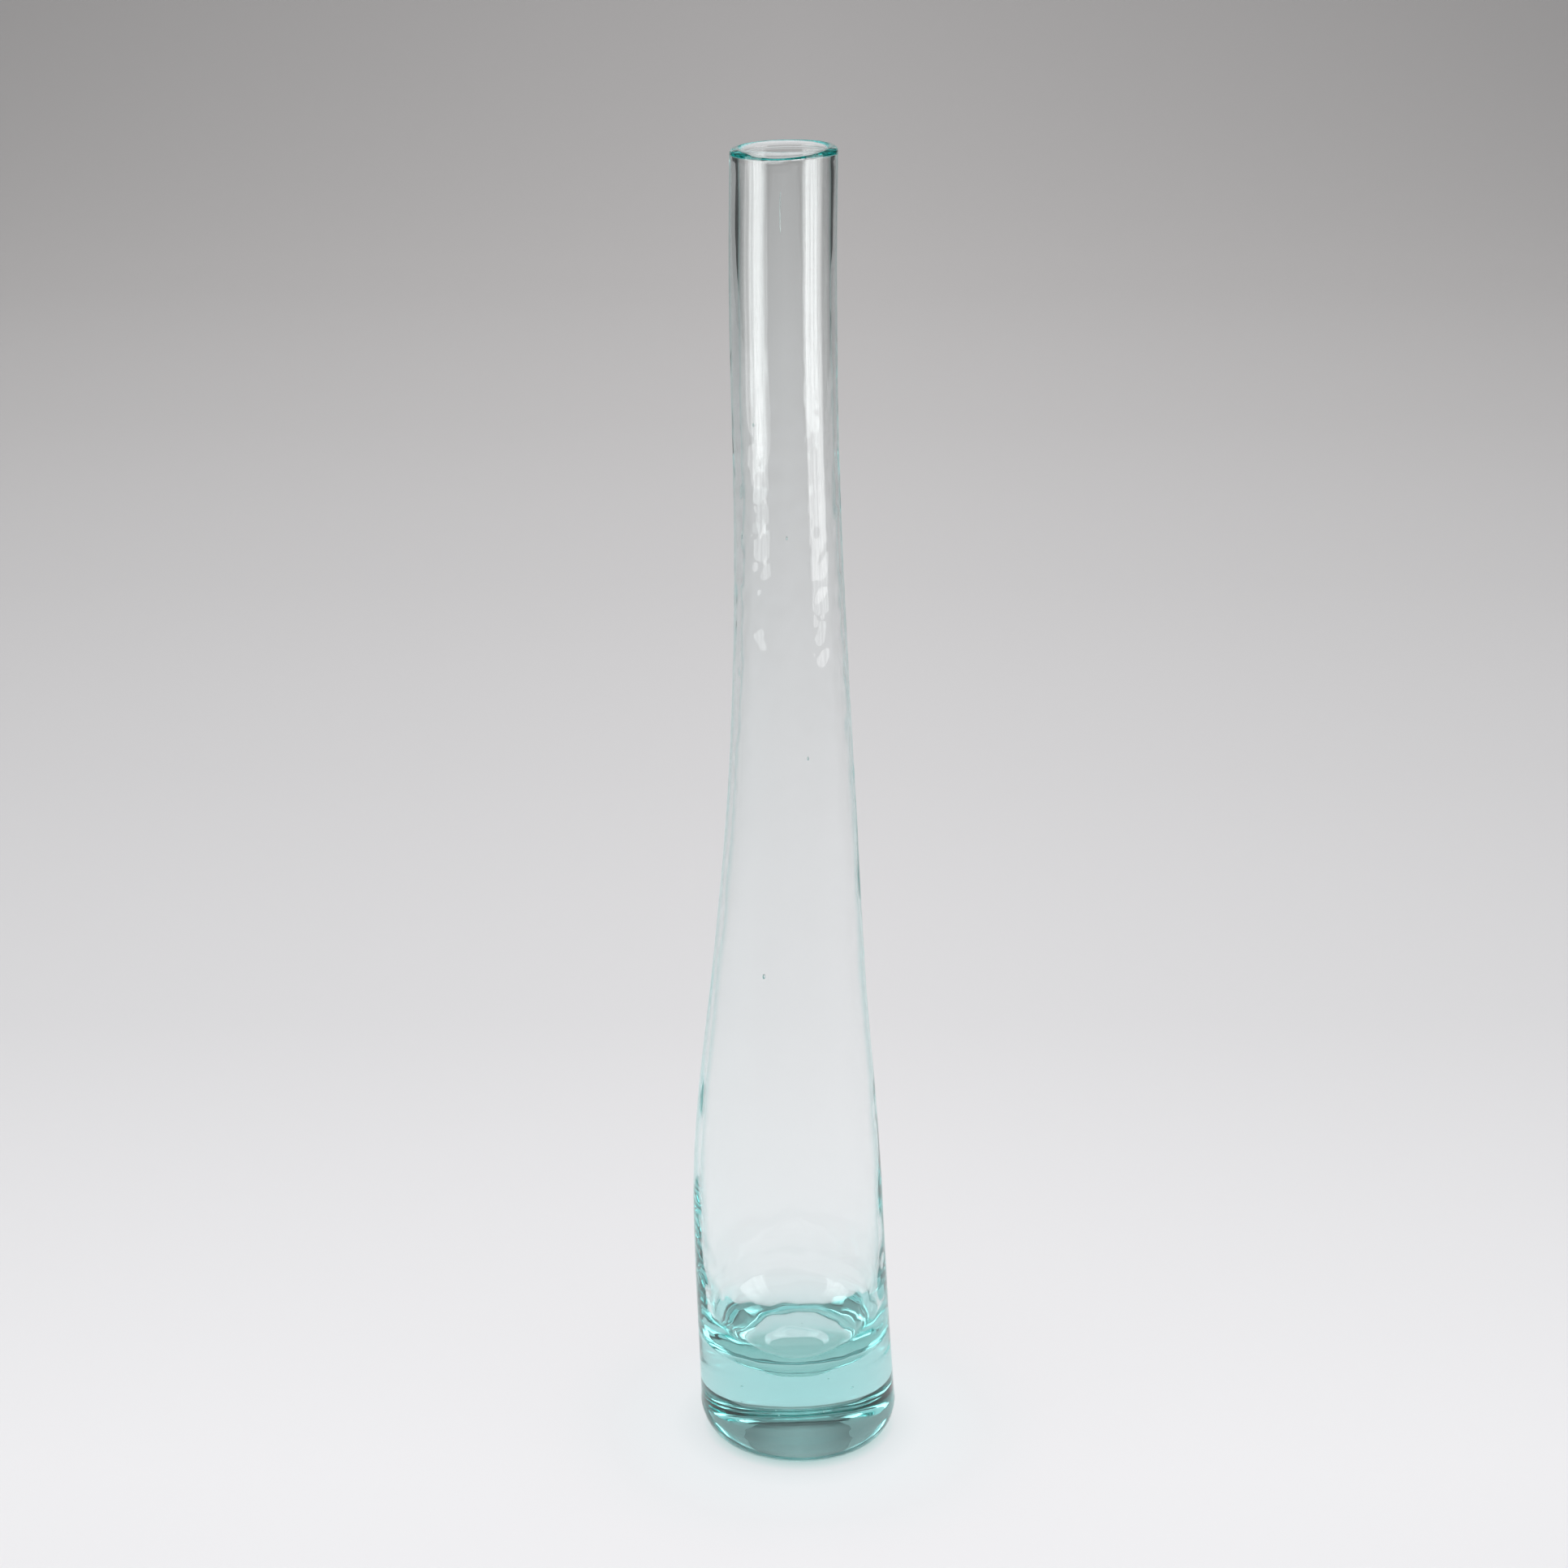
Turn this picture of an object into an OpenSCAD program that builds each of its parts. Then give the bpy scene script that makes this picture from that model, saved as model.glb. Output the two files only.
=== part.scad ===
// Tall bud vase, blown in one piece of pale aqua glass.
// A slender neck swells into a long body, which stands on a thick solid base with a round heel.
// Its axis wanders a little and its walls are uneven, as on any free-blown glass.
// Millimetres, +Z up. The origin is the centre of the ground face that the vase stands on.

/* [Height] */
// Height from the ground face to the top of the lip
vase_h = 300.6; // [280:0.2:320]

/* [Outside] */
// Diameter of the body just above the heel
base_d = 46.4; // [42:0.2:54]
// Diameter of the neck
neck_d = 23; // [21:0.2:28]
// Height over which the heel rounds under
heel_h = 8; // [4:0.5:12]
// How far the heel draws in from the body's side to the ground face
heel_inset = 4.8; // [2:0.5:8]
// How much of the drawn lean and curve of the axis is kept
lean = 1; // [0:0.1:1.5]

/* [Glass] */
// Thickness of the solid glass under the cavity
floor_t = 21; // [14:1:30]
// Height over which the cavity's floor rounds up into its wall
cavity_round_h = 14; // [8:1:18]
// Radius of the flat middle of the cavity's floor, as a share of the cavity's radius
floor_flat = 0.55; // [0.3:0.05:0.7]
// Depth of the round dimple in the middle of the floor
dimple_depth = 2; // [0:0.2:3]
// Diameter of that dimple, half way down its edge
dimple_d = 14; // [8:0.5:18]
// Width of the dimple's sloping edge
dimple_edge = 2; // [1:0.5:4]
// How far the dimple lies off the middle, towards the front
dimple_shift = 2.5; // [0:0.5:3]
// Sideways shift of the cavity, which leaves one wall thicker than the other
cavity_shift = 0.3; // [0:0.05:0.4]

/* [Lip] */
// Thickness of the fire-polished lip
lip_t = 2.4; // [1.8:0.1:3]
// Height over which the lip's bead thins to the neck's wall
lip_fade = 0.7; // [0.5:0.1:6]
// How much lower the lip is on its low side, to the left, than on its high side
lip_slant = 0.6; // [0:0.05:1]

/* [Smoothness] */
// Points round each ring
ring_points = 40; // [24:4:56]
// Height of one step of the walls
wall_step = 12; // [8:1:20]

/* [Hidden] */

base_r = base_d / 2;
neck_r = neck_d / 2;
grind = 1; // glass below the ground face, which grinding takes off
glass_colour = [0.66, 0.87, 0.86, 0.45];

// Swell of the outside, from the neck's radius at 0 to the base's at 1, by share of the height
swell = [[0, 1], [0.067, 0.961], [0.15, 0.928], [0.217, 0.885], [0.283, 0.766], [0.367, 0.55],
         [0.467, 0.342], [0.567, 0.179], [0.667, 0.063], [0.767, 0.004], [0.883, 0], [1, -0.009]];
// Thickness of the wall above the cavity's rounded floor, by share of the height
wall = [[0, 3.4], [0.1, 2.6], [0.15, 1.7], [0.22, 1.2], [0.35, 1], [0.6, 1.1], [0.8, 1.5], [1, 1.65]];
// Sideways and depthwise place of the axis, by share of the height
axis_x = [[0, 0], [0.04, -0.52], [0.12, -1.76], [0.2, -2.7], [0.3, -2.91], [0.417, -2.38],
          [0.52, -1.9], [0.62, -2.11], [0.73, -2.78], [0.83, -3.56], [0.92, -3.86], [1, -3.65]];
axis_y = [[0, 0], [0.2, 0.5], [0.5, 1], [0.8, 0.6], [1, 0.8]];

// Smooth curve through knots [place, value], as cubic pieces that share their slopes
function slope(k, i) =
    let (a = max(i - 1, 0), b = min(i + 1, len(k) - 1))
    (k[b][1] - k[a][1]) / (k[b][0] - k[a][0]);
function piece(k, i, s) =
    let (h = k[i + 1][0] - k[i][0], t = (s - k[i][0]) / h)
    (2 * pow(t, 3) - 3 * pow(t, 2) + 1) * k[i][1]
    + (pow(t, 3) - 2 * pow(t, 2) + t) * h * slope(k, i)
    + (3 * pow(t, 2) - 2 * pow(t, 3)) * k[i + 1][1]
    + (pow(t, 3) - pow(t, 2)) * h * slope(k, i + 1);
function at(k, s, i = 0) =
    i == len(k) - 2 || s <= k[i + 1][0] ? piece(k, i, s) : at(k, s, i + 1);

function share(z) = min(max(z / vase_h, 0), 1);
function outer_r(z) = neck_r + (base_r - neck_r) * at(swell, share(z));
function ease(t) = let (u = min(max(t, 0), 1)) u * u * (3 - 2 * u);
function lip_extra(z) = (lip_t - at(wall, 1)) * ease(1 - (lip_z - z) / lip_fade);
function inner_r(z) = outer_r(z) - at(wall, share(z)) - lip_extra(z);

// The outline, as [radius, height, 1 inside the cavity or 0 outside], from the base's centre
// round the heel, up the wall, over the lip, down the cavity and along its floor
lip_r = lip_t / 2;
lip_z = vase_h - lip_r;
cavity_z = floor_t + cavity_round_h;
heel = [for (a = [0:15:75])
    [outer_r(0) - heel_inset * (1 - sin(a)), heel_h * (1 - cos(a)), 0]];
outside = [for (z = [heel_h : (lip_z - heel_h) / ceil((lip_z - heel_h) / wall_step) : lip_z - 1])
    [outer_r(z), z, 0]];
lip = [for (a = [0:30:180])
    [outer_r(vase_h) - lip_r + lip_r * cos(a), lip_z + lip_r * sin(a), a / 180]];
fade_steps = [for (k = [0.33, 0.67, 1])
    let (z = lip_z - k * lip_fade) [inner_r(z), z, 1]];
inside_top = lip_z - lip_fade - 2;
inside = [for (z = [inside_top : -(inside_top - cavity_z) / ceil((inside_top - cavity_z) / wall_step)
                    : cavity_z - 0.01])
    [inner_r(z), z, 1]];
floor_flat_r = inner_r(cavity_z) * floor_flat;
round_floor = [for (a = [15:15:90])
    [floor_flat_r + (inner_r(cavity_z) - floor_flat_r) * cos(a),
     cavity_z - cavity_round_h * sin(a), 1]];
dimple = [for (t = [0 : 0.25 : 1])
    [(dimple_d + dimple_edge) / 2 - dimple_edge * t, floor_t - dimple_depth * ease(t), 1]];
outline = concat([[outer_r(0) - heel_inset, -grind, 0]], heel, outside, lip, fade_steps, inside,
                 round_floor, dimple);

// How far a point of the outline belongs to the dimple: 1 in the dimple and 0 elsewhere
function in_dimple(p) = p[2] == 1 && p[1] <= floor_t ? ease((floor_flat_r - p[0]) / 2) : 0;

// One point of the skin: the outline's point turned by an angle about the wandering axis
function skin(p, turn) =
    let (s = share(p[1]),
         slant = lip_slant / 2 * (cos(turn - 30) - 1) * pow(s, 30))
    [lean * at(axis_x, s) + cavity_shift * p[2] * (1 - pow(s, 30)) + p[0] * cos(turn),
     lean * at(axis_y, s) - dimple_shift * in_dimple(p) + p[0] * sin(turn),
     p[1] + slant];

// A closed skin round the wandering axis, ring by ring, with one middle point at each end
module blown_glass(path) {
    rings = len(path);
    n = ring_points;
    points = concat(
        [for (p = path, i = [0 : n - 1]) skin(p, 360 * i / n)],
        [[0, 0, -grind]],
        [skin([0, floor_t - dimple_depth, 1], 0)]);
    sides = [for (r = [0 : rings - 2], i = [0 : n - 1])
        let (j = (i + 1) % n)
        [r * n + i, (r + 1) * n + i, (r + 1) * n + j, r * n + j]];
    bottom = [for (i = [0 : n - 1]) [rings * n, i, (i + 1) % n]];
    floor_top = [for (i = [0 : n - 1])
        [rings * n + 1, (rings - 1) * n + (i + 1) % n, (rings - 1) * n + i]];
    polyhedron(points = points, faces = concat(sides, bottom, floor_top), convexity = 6);
}

// The vase: one piece of glass, ground flat where it stands
module vase_body() {
    color(glass_colour)
    difference() {
        blown_glass(outline);
        translate([0, 0, -10]) cylinder(h = 10, r = base_d, $fn = 96);
    }
}

vase_body();
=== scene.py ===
"""Bud vase of free-blown pale aqua glass, on a pale studio sweep.

The vase is worked out in millimetres, as in the CAD, and made in metres in the CAD's frame. The studio
is in metres."""

import math
import random

import bpy
import numpy as np
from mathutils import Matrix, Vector, noise


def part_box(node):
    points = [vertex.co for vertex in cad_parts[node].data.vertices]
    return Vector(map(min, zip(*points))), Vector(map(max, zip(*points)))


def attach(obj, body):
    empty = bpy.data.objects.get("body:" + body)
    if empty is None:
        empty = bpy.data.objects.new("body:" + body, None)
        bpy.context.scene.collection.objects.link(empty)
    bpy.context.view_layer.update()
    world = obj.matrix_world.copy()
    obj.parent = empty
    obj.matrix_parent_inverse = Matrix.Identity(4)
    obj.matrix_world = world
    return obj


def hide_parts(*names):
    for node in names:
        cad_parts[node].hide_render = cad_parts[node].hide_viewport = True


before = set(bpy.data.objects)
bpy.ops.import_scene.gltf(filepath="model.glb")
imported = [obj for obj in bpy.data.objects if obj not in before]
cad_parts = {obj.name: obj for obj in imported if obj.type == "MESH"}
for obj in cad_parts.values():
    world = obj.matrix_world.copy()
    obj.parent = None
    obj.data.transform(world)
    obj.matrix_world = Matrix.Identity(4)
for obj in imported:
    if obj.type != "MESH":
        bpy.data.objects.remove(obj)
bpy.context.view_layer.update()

# ---------------------------------------------------------------- sizes, millimetres as in the CAD

MM = 0.001
LOW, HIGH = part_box("vase_body")
VASE_H = (HIGH.z - LOW.z) / MM
BASE_R, NECK_R = 23.2, 11.5
HEEL_H, HEEL_INSET = 8.0, 4.8
FLOOR_T, CAVITY_ROUND_H = 21.0, 14.0
FLOOR_FLAT = 0.55
DIMPLE_DEPTH, DIMPLE_D, DIMPLE_EDGE, DIMPLE_SHIFT = 2.0, 14.0, 2.0, 2.5
CAVITY_SHIFT = 0.3
LIP_T, LIP_FADE, LIP_SLANT = 2.4, 0.7, 0.6
LIP_R = LIP_T / 2
LIP_Z = VASE_H - LIP_R
CAVITY_Z = FLOOR_T + CAVITY_ROUND_H

# Smooth curves by share of the height, as in the CAD
SWELL = [(0, 1), (0.067, 0.961), (0.15, 0.928), (0.217, 0.885), (0.283, 0.766), (0.367, 0.55),
         (0.467, 0.342), (0.567, 0.179), (0.667, 0.063), (0.767, 0.004), (0.883, 0), (1, -0.009)]
WALL = [(0, 3.4), (0.1, 2.6), (0.15, 1.7), (0.22, 1.2), (0.35, 1), (0.6, 1.1), (0.8, 1.5), (1, 1.65)]
AXIS_X = [(0, 0), (0.04, -0.52), (0.12, -1.76), (0.2, -2.7), (0.3, -2.91), (0.417, -2.38),
          (0.52, -1.9), (0.62, -2.11), (0.73, -2.78), (0.83, -3.56), (0.92, -3.86), (1, -3.65)]
AXIS_Y = [(0, 0), (0.2, 0.5), (0.5, 1), (0.8, 0.6), (1, 0.8)]


def curve(knots, s):
    """Smooth curve through knots (place, value): cubic pieces that share their slopes."""
    x, v = (np.array(c, float) for c in zip(*knots))
    last = len(x) - 1
    before, after = np.maximum(np.arange(last + 1) - 1, 0), np.minimum(np.arange(last + 1) + 1, last)
    slope = (v[after] - v[before]) / (x[after] - x[before])
    s = np.clip(np.asarray(s, float), x[0], x[-1])
    i = np.clip(np.searchsorted(x, s) - 1, 0, last - 1)
    h = x[i + 1] - x[i]
    t = (s - x[i]) / h
    return ((2 * t**3 - 3 * t**2 + 1) * v[i] + (t**3 - 2 * t**2 + t) * h * slope[i]
            + (3 * t**2 - 2 * t**3) * v[i + 1] + (t**3 - t**2) * h * slope[i + 1])


def share(z):
    return np.clip(np.asarray(z, float) / VASE_H, 0, 1)


def between(value, none, full):
    """How far a value has come from none to full, held between 0 and 1."""
    return np.clip((value - none) / (full - none), 0, 1)


def ease(t):
    t = np.clip(t, 0, 1)
    return t * t * (3 - 2 * t)


def outer_r(z):
    return NECK_R + (BASE_R - NECK_R) * curve(SWELL, share(z))


def inner_r(z):
    bead = (LIP_T - WALL[-1][1]) * ease(1 - (LIP_Z - np.asarray(z, float)) / LIP_FADE)
    return outer_r(z) - curve(WALL, share(z)) - bead


# ---------------------------------------------------------------- the vase's skin

TURNS = 160
WALL_RINGS, BEAD_RINGS, CAVITY_RINGS = 283, 12, 250
HEEL_STEP, LIP_STEP, FLOOR_STEP = 7.5, 15, 4  # degrees
DIMPLE_RINGS = 11

# Where the drawn waviness and ripple of the glass begin and are full, as heights
LOW_HALF = 225, 145
RAGGED_TOP, RAGGED_BOTTOM = (272, 232), (140, 190)
FOOT = 60, 30
MOUTH = 296, 299
LIP_EDGE = 297, 299
GROUND = 0, 3


def profile():
    """The skin's outline as rows of (radius, height, 1 inside or 0 outside), from the base's middle
    out along the ground face, up the outside, over the lip, down the cavity and in along its floor."""
    foot = float(outer_r(0)) - HEEL_INSET
    rows = [(foot * s, 0.0, 0) for s in (0.3, 0.6, 0.85, 0.96)]
    for a in np.radians(np.arange(0, 90, HEEL_STEP)):
        rows.append((foot + HEEL_INSET * math.sin(a), HEEL_H * (1 - math.cos(a)), 0))
    rows += [(float(outer_r(z)), z, 0) for z in np.linspace(HEEL_H, LIP_Z, WALL_RINGS + 1)[:-1]]
    for a in np.radians(np.arange(0, 181, LIP_STEP)):
        rows.append((float(outer_r(VASE_H)) - LIP_R + LIP_R * math.cos(a),
                     LIP_Z + LIP_R * math.sin(a), a / math.pi))
    under_bead = LIP_Z - LIP_FADE
    rows += [(float(inner_r(z)), z, 1) for z in np.linspace(LIP_Z, under_bead, BEAD_RINGS + 1)[1:-1]]
    rows += [(float(inner_r(z)), z, 1) for z in np.linspace(under_bead, CAVITY_Z, CAVITY_RINGS)]
    wide = float(inner_r(CAVITY_Z))
    flat = FLOOR_FLAT * wide
    for a in np.radians(np.arange(FLOOR_STEP, 91, FLOOR_STEP)):
        rows.append((flat + (wide - flat) * math.cos(a), CAVITY_Z - CAVITY_ROUND_H * math.sin(a), 1))
    for t in np.linspace(0, 1, DIMPLE_RINGS):
        rows.append(((DIMPLE_D + DIMPLE_EDGE) / 2 - DIMPLE_EDGE * t,
                     FLOOR_T - DIMPLE_DEPTH * float(ease(t)), 1))
    rows += [(r, FLOOR_T - DIMPLE_DEPTH, 1) for r in (4.5, 3, 1.5)]
    return rows


def hills(x, y, z, wide, tall, seed):
    """Smooth noise from -1 to 1 on the skin, with hills so wide across and so tall upward."""
    flat = [c.ravel() for c in (x / wide, y / wide, z / tall)]
    return np.array([noise.noise(Vector((a, b, c + seed))) for a, b, c in zip(*flat)]).reshape(x.shape)


def ripple(x, y, z, heights, inside):
    """How far each point of the skin stands proud of the smooth shape: long waves everywhere, finer
    ripple towards the base, ragged ripple down the lower neck and an uneven lip."""
    low = between(heights, *LOW_HALF)
    middle = between(heights, *RAGGED_TOP) * between(heights, *RAGGED_BOTTOM)
    foot = between(heights, *FOOT)
    mouth = between(heights, *MOUTH)
    outside = ((0.03 + 0.03 * low) * hills(x, y, z, 9, 16, 3.0)
               + (0.01 * low + 0.02 * middle) * hills(x, y, z, 3, 3.4, 11.0)
               + 0.008 * hills(x, y, z, 1.1, 50, 71.0)  # fine upright lines
               + 0.07 * middle * hills(x, y, z, 1.7, 4, 89.0))
    cavity = ((0.05 + 0.03 * low + 0.03 * mouth) * hills(x, y, z, 9, 14, 31.0)
              + (0.006 * low + 0.09 * foot) * hills(x, y, z, 3.6, 4, 47.0))
    proud = np.where(inside > 0.5, cavity, outside)
    proud *= between(heights, *GROUND)  # the ground face stays flat
    return proud * (1 + 1.8 * between(heights, *LIP_EDGE))


def skin_points():
    """The skin's points in millimetres, ring by ring, then the middles of the base and the floor."""
    r, z, inside = np.array(profile()).T
    turn = np.arange(TURNS) * 2 * math.pi / TURNS
    s = share(z)
    flat = FLOOR_FLAT * inner_r(CAVITY_Z)
    in_dimple = (inside == 1) * (z <= FLOOR_T) * ease((flat - r) / 2)
    middle_x = curve(AXIS_X, s) + CAVITY_SHIFT * inside * (1 - s**30)
    middle_y = curve(AXIS_Y, s) - DIMPLE_SHIFT * in_dimple
    slant = LIP_SLANT / 2 * (np.cos(turn - math.radians(30)) - 1)
    x = middle_x[:, None] + r[:, None] * np.cos(turn)
    y = middle_y[:, None] + r[:, None] * np.sin(turn)
    zz = z[:, None] + slant[None, :] * (s**30)[:, None]

    # the ripple pushes each point along the outward normal of the smooth skin
    dr, dz = np.gradient(r), np.gradient(z)
    length = np.hypot(dr, dz)
    out, up = dz / length, -dr / length
    proud = ripple(x, y, zz, z[:, None], inside[:, None])
    x = x + proud * out[:, None] * np.cos(turn)
    y = y + proud * out[:, None] * np.sin(turn)
    zz = np.clip(zz + proud * up[:, None], 0, VASE_H)
    ends = [[0, 0, 0], [middle_x[-1], middle_y[-1], FLOOR_T - DIMPLE_DEPTH]]
    return np.vstack([np.stack([x.ravel(), y.ravel(), zz.ravel()], 1), ends])


def skin_faces(rings):
    """Four-sided faces between the rings, and fans that close the base and the cavity's floor."""
    faces = []
    turns = [(i, (i + 1) % TURNS) for i in range(TURNS)]
    for ring in range(0, (rings - 1) * TURNS, TURNS):
        faces += [(ring + i, ring + j, ring + TURNS + j, ring + TURNS + i) for i, j in turns]
    under, floor_middle, last = rings * TURNS, rings * TURNS + 1, (rings - 1) * TURNS
    for i, j in turns:
        faces += [(under, j, i), (floor_middle, last + i, last + j)]
    return faces


# ---------------------------------------------------------------- bubbles in the glass

WALL_SEEDS = [(-92, 219, 0.2), (-150, 218, 0.25), (-128, 243, 0.2), (-75, 170, 0.22), (-110, 120, 0.3)]
LONG_SEED_AT, LONG_SEED_SIZE = (-94, 288), (0.12, 0.12, 4.4)
BLOCK_SEEDS = 12
SIDES, LAYERS = 8, 5
SHELL = np.array([(0, 0, -1)] + [(math.cos(t) * math.cos(u), math.cos(t) * math.sin(u), math.sin(t))
                                 for t in np.linspace(-math.pi / 2, math.pi / 2, LAYERS + 2)[1:-1]
                                 for u in np.arange(SIDES) * 2 * math.pi / SIDES] + [(0, 0, 1)])


def in_wall(turn, z):
    """A point half way through the wall, at an angle in degrees and a height."""
    s, a = share(z), math.radians(turn)
    r = (outer_r(z) + inner_r(z)) / 2
    x = curve(AXIS_X, s) + CAVITY_SHIFT / 2 + r * math.cos(a)
    return np.array([x, curve(AXIS_Y, s) + r * math.sin(a), z])


def seeds():
    """Middles and half sizes of small bubbles: in the solid block, in the wall, and one long drawn one."""
    rng = random.Random(7)
    found = []
    for _ in range(BLOCK_SEEDS):
        a, r = rng.uniform(0, 2 * math.pi), 16 * math.sqrt(rng.random())
        size = rng.uniform(0.1, 0.22)
        found.append((np.array([r * math.cos(a), r * math.sin(a), rng.uniform(3, 16)]), np.full(3, size)))
    for turn, z, size in WALL_SEEDS:
        found.append((in_wall(turn, z), np.array([size, size, 2 * size])))
    found.append((in_wall(*LONG_SEED_AT), np.array(LONG_SEED_SIZE)))
    return found


def bubble_faces(first):
    """Faces of one bubble, which look into it because the glass is outside it."""
    faces = []
    last = first + len(SHELL) - 1
    for i in range(SIDES):
        j = (i + 1) % SIDES
        faces.append((first, first + 1 + i, first + 1 + j))
        faces.append((last, last - SIDES + j, last - SIDES + i))
        for k in range(LAYERS - 1):
            low = first + 1 + k * SIDES
            faces.append((low + i, low + SIDES + i, low + SIDES + j, low + j))
    return faces


def blown_glass():
    """The vase's points, in metres, and its faces, with the bubbles in the glass."""
    points = skin_points()
    faces = skin_faces(len(points) // TURNS)
    for centre, size in seeds():
        faces += bubble_faces(len(points))
        points = np.vstack([points, centre + SHELL * size])
    return points * MM, faces


# ---------------------------------------------------------------- materials, from small node steps


def new_tree(name):
    mat = bpy.data.materials.new(name)
    mat.use_nodes = True
    return mat, mat.node_tree


def ranged(tree, value, start, end, low=0.0, high=1.0, smooth=True):
    """The value's way from start to end as a number from low to high, held at both ends."""
    step = tree.nodes.new("ShaderNodeMapRange")
    step.interpolation_type = "SMOOTHSTEP" if smooth else "LINEAR"
    for name, number in (("From Min", start), ("From Max", end), ("To Min", low), ("To Max", high)):
        step.inputs[name].default_value = number
    tree.links.new(value, step.inputs["Value"])
    return step.outputs["Result"]


def computed(tree, operation, first, second=None):
    """A number from one or two others."""
    step = tree.nodes.new("ShaderNodeMath")
    step.operation = operation
    tree.links.new(first, step.inputs[0])
    if isinstance(second, (int, float)):
        step.inputs[1].default_value = second
    elif second is not None:
        tree.links.new(second, step.inputs[1])
    return step.outputs["Value"]


def axes(tree, vector):
    step = tree.nodes.new("ShaderNodeSeparateXYZ")
    tree.links.new(vector, step.inputs["Vector"])
    return step.outputs


def ramp(tree, value, stops):
    """A colour by a value from 0 to 1, through stops (place, red, green, blue) that start at 0."""
    step = tree.nodes.new("ShaderNodeValToRGB")
    elements = step.color_ramp.elements
    for place, *colour in stops:
        stop = elements[0] if place == 0 else elements.new(place)
        stop.color = (*colour, 1)
    tree.links.new(value, step.inputs["Fac"])
    return step.outputs["Color"]


# Painted edge tint: aqua painted by viewing angle at the glass's outline, partly the glass's own colour
# along its longer path there and partly painted light carried along inside the wall
PAINTED_EDGE_TINT = (0.42, 0.8, 0.78, 1)
EDGE_FROM, EDGE_TO = 0.62, 0.92  # 0 where the glass is seen square on and 1 at its outline
ABSORBED = (0.0, 0.76, 0.745, 1)
ABSORB_DENSITY = 17.0


def glass():
    """Clear soda-lime glass: a true absorption makes it aqua where it is thick, and a painted aqua tint by
    viewing angle at its outline stands partly for light carried along inside the wall.
    """
    mat, tree = new_tree("aqua_glass")
    shader = tree.nodes["Principled BSDF"]
    shader.inputs["Roughness"].default_value = 0.0
    shader.inputs["IOR"].default_value = 1.51
    shader.inputs["Transmission Weight"].default_value = 1.0
    facing = tree.nodes.new("ShaderNodeLayerWeight")
    facing.inputs["Blend"].default_value = 0.5
    colour = tree.nodes.new("ShaderNodeMix")
    colour.data_type = "RGBA"
    colour.inputs["A"].default_value, colour.inputs["B"].default_value = (1, 1, 1, 1), PAINTED_EDGE_TINT
    tree.links.new(ranged(tree, facing.outputs["Facing"], EDGE_FROM, EDGE_TO), colour.inputs["Factor"])
    tree.links.new(colour.outputs["Result"], shader.inputs["Base Color"])
    tint = tree.nodes.new("ShaderNodeVolumeAbsorption")
    tint.inputs["Color"].default_value = ABSORBED
    tint.inputs["Density"].default_value = ABSORB_DENSITY
    tree.links.new(tint.outputs["Volume"], tree.nodes["Material Output"].inputs["Volume"])
    return mat


PAPER_W = 2.72
PAPER_FRONT, PAPER_FLAT_TO, PAPER_BEND_R, PAPER_TOP = -4.0, 1.7, 1.1, 3.2
SEAT_GAP = 0.0002  # air under the ground face
# Painted falloff: the paper's colour is painted paler in front and darker further back, standing in for
# light that falls off, with a slight warm shift further back
FALLOFF_FROM, FALLOFF_SPAN = -0.2, 3
PAINTED_FALLOFF = [(-0.2, 0.88), (-0.02, 0.87), (0.11, 0.785), (0.25, 0.69), (0.5, 0.62), (0.8, 0.56),
              (1.2, 0.52), (1.8, 0.505), (2.3, 0.44), (2.8, 0.62)]
# Painted falloff: the paper is painted darker towards the sides
PAINTED_SIDE_FALLOFF = 0.78
# Painted light round the vase's foot: a painted teal shade under the glass and a painted caustic glow
# round it, by distance from the vase's middle
PAINTED_FOOT_R = 0.06
PAINTED_FOOT_LIGHT = [(0, 0.62, 0.95, 0.91), (0.3, 0.66, 0.96, 0.92), (0.38, 0.97, 1.03, 1.03),
             (0.5, 1.01, 1.05, 1.05), (0.75, 0.985, 1.0, 1.0)]


def paper():
    """Matt paper with painted light: a painted falloff, paler in front, darker behind and towards the
    sides, and the light that the glass throws on it painted round the vase's foot as teal shade and a
    caustic glow.
    """
    mat, tree = new_tree("paper_sweep")
    shader = tree.nodes["Principled BSDF"]
    shader.inputs["Roughness"].default_value = 0.9
    where = tree.nodes.new("ShaderNodeTexCoord").outputs["Object"]
    place = axes(tree, where)
    falloff_stops = []
    for y, value in PAINTED_FALLOFF:
        # the painted falloff grows slightly warmer further back
        warm = 0.02 * min(max(y - 0.1, 0) / 1.5, 1)
        at = (y - FALLOFF_FROM) / FALLOFF_SPAN
        falloff_stops.append((at, value, value * (0.995 - warm), value * (1.015 - 2 * warm)))
    back = ranged(tree, place["Y"], FALLOFF_FROM, FALLOFF_FROM + FALLOFF_SPAN, smooth=False)
    side = ranged(tree, computed(tree, "ABSOLUTE", place["X"]), 0, 1, 1, PAINTED_SIDE_FALLOFF, smooth=False)
    both = tree.nodes.new("ShaderNodeVectorMath")
    both.operation = "SCALE"
    tree.links.new(ramp(tree, back, falloff_stops), both.inputs[0])
    tree.links.new(side, both.inputs["Scale"])
    away = tree.nodes.new("ShaderNodeVectorMath")
    away.operation = "LENGTH"
    tree.links.new(where, away.inputs[0])
    # painted teal shade under the foot and painted caustic glow round it
    near = ranged(tree, away.outputs["Value"], 0, PAINTED_FOOT_R, smooth=False)
    tinted = tree.nodes.new("ShaderNodeVectorMath")
    tinted.operation = "MULTIPLY"
    tree.links.new(both.outputs["Vector"], tinted.inputs[0])
    tree.links.new(ramp(tree, near, PAINTED_FOOT_LIGHT), tinted.inputs[1])
    tree.links.new(tinted.outputs["Vector"], shader.inputs["Base Color"])
    return mat


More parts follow.
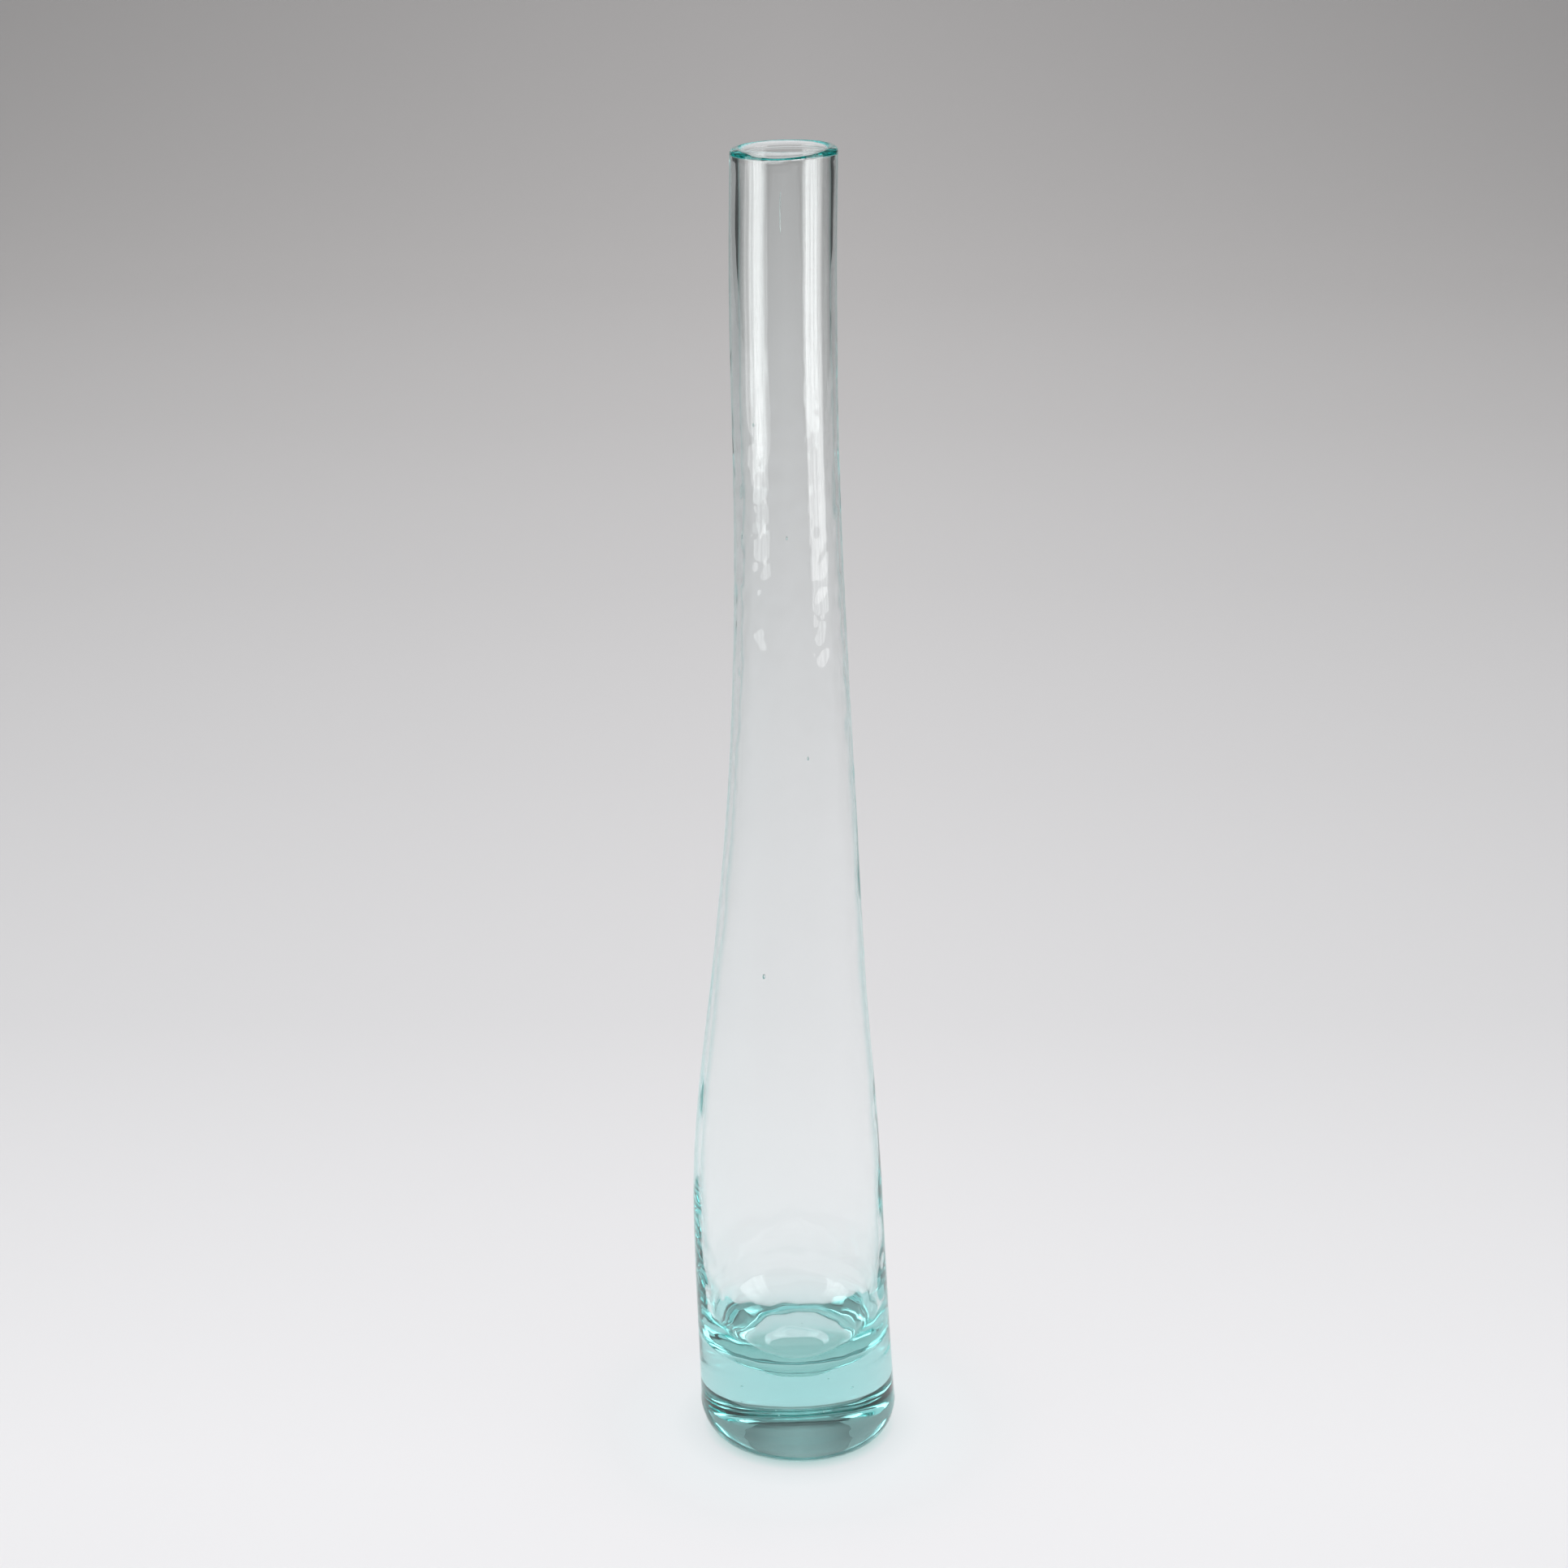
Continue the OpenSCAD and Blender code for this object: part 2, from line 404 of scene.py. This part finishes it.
def glow(name, strength):
    """A panel's light: soft at both sides and upward, in faint upright bands. The glass reflects it, but
    it doesn't show straight through the glass."""
    mat, tree = new_tree(name)
    tree.nodes.remove(tree.nodes["Principled BSDF"])
    place = axes(tree, tree.nodes.new("ShaderNodeTexCoord").outputs["Generated"])
    bands = tree.nodes.new("ShaderNodeTexNoise")
    bands.noise_dimensions = "1D"
    bands.inputs["Scale"].default_value = 11
    tree.links.new(place["X"], bands.inputs["W"])
    path = tree.nodes.new("ShaderNodeLightPath")
    level = ranged(tree, place["X"], 0, 0.18, high=strength)
    for factor in (ranged(tree, place["X"], 1, 0.82), ranged(tree, place["Y"], 1, 0.25),
                   ranged(tree, bands.outputs["Fac"], 0.35, 0.65, 0.5, 1.1, smooth=False),
                   computed(tree, "MINIMUM", path.outputs["Glossy Depth"], 1)):
        level = computed(tree, "MULTIPLY", level, factor)
    light = tree.nodes.new("ShaderNodeEmission")
    tree.links.new(level, light.inputs["Strength"])
    tree.links.new(light.outputs["Emission"], tree.nodes["Material Output"].inputs["Surface"])
    return mat


# ---------------------------------------------------------------- the vase


def make(name, points, faces, mat):
    mesh = bpy.data.meshes.new(name)
    mesh.from_pydata([tuple(p) for p in points], [], faces)
    mesh.update()
    mesh.polygons.foreach_set("use_smooth", [True] * len(mesh.polygons))
    mesh.materials.append(mat)
    obj = bpy.data.objects.new(name, mesh)
    bpy.context.scene.collection.objects.link(obj)
    return obj


vase = make("blown_glass", *blown_glass(), glass())
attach(vase, "root")
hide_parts("vase_body")

# ---------------------------------------------------------------- studio, metres


def sweep():
    """A roll of pale paper: flat under the vase, then curving up into the backdrop."""
    line = [(PAPER_FRONT, -SEAT_GAP), (PAPER_FLAT_TO, -SEAT_GAP)]
    line += [(PAPER_FLAT_TO + PAPER_BEND_R * math.sin(a), PAPER_BEND_R * (1 - math.cos(a)))
             for a in np.radians(range(4, 91, 4))]
    line.append((PAPER_FLAT_TO + PAPER_BEND_R, PAPER_TOP))
    points = [(x, y, z) for y, z in line for x in (-PAPER_W / 2, PAPER_W / 2)]
    faces = [(2 * k, 2 * k + 1, 2 * k + 3, 2 * k + 2) for k in range(len(line) - 1)]
    return make("backdrop", points, faces, paper())


def panel(name, width, height, strength, place, turn):
    """A glowing panel that only the glass shows."""
    w, h = width / 2, height / 2
    corners = [(-w, -h, 0), (w, -h, 0), (w, h, 0), (-w, h, 0)]
    obj = make(name, corners, [(0, 1, 2, 3)], glow(name, strength))
    obj.location, obj.rotation_euler = place, turn
    obj.visible_camera = obj.visible_diffuse = obj.visible_shadow = False


def softbox(name, azimuth, low):
    """An upright panel that faces the vase; azimuth is from the camera's side, + to the right."""
    distance, width, height, strength = 0.85, 0.82, 1.1, 4
    a = math.radians(azimuth)
    x, y = distance * math.sin(a), -distance * math.cos(a)
    panel(name, width, height, strength, (x, y, low + height / 2),
          (math.radians(90), 0, math.atan2(y, x) + math.radians(90)))


def broad_light(backdrop):
    """The paper's own broad light, which the clear glass doesn't stop."""
    blockers = bpy.data.collections.new("blockers")
    blockers.objects.link(backdrop)
    light = bpy.data.lights.new("broad_light", "AREA")
    light.shape, light.size, light.energy = "SQUARE", 2.0, 70
    above = bpy.data.objects.new("broad_light", light)
    above.location = (0, 0.5, 2.8)
    above.visible_glossy = above.visible_transmission = False
    above.light_linking.blocker_collection = blockers
    bpy.context.scene.collection.objects.link(above)


def room():
    """Dark low down round the paper, with paler walls higher up."""
    world = bpy.data.worlds.new("room")
    world.use_nodes = True
    tree = world.node_tree
    toward = axes(tree, tree.nodes.new("ShaderNodeTexCoord").outputs["Generated"])
    walls = ranged(tree, toward["Z"], 0.1, 0.45, 0.05, 0.35)
    tree.links.new(walls, tree.nodes["Background"].inputs["Color"])
    bpy.context.scene.world = world


backdrop = sweep()
softbox("left_softbox", -69, 0.029)
softbox("right_softbox", 69, 0.037)
panel("overhead", 1.6, 1.6, 1.2, (0, 0.5, 1.5), (0, 0, 0))
broad_light(backdrop)
room()

# ---------------------------------------------------------------- camera

CAMERA_AT = (-0.0036, -0.6474, 0.3738)
CAMERA_DOWN = 18.257  # degrees below level
CAMERA_LENS, CAMERA_SENSOR = 70.19, 36
BOUNCES = 160  # light goes back and forth in the thick glass

camera = bpy.data.cameras.new("camera")
camera.lens, camera.sensor_width = CAMERA_LENS, CAMERA_SENSOR
shot = bpy.data.objects.new("camera", camera)
shot.location = CAMERA_AT
shot.rotation_euler = (math.radians(90 - CAMERA_DOWN), 0, 0)
scene = bpy.context.scene
scene.collection.objects.link(shot)
scene.camera = shot
scene.view_settings.view_transform = "Standard"
scene.cycles.max_bounces = scene.cycles.glossy_bounces = scene.cycles.transmission_bounces = BOUNCES
scene.cycles.caustics_reflective = scene.cycles.caustics_refractive = False
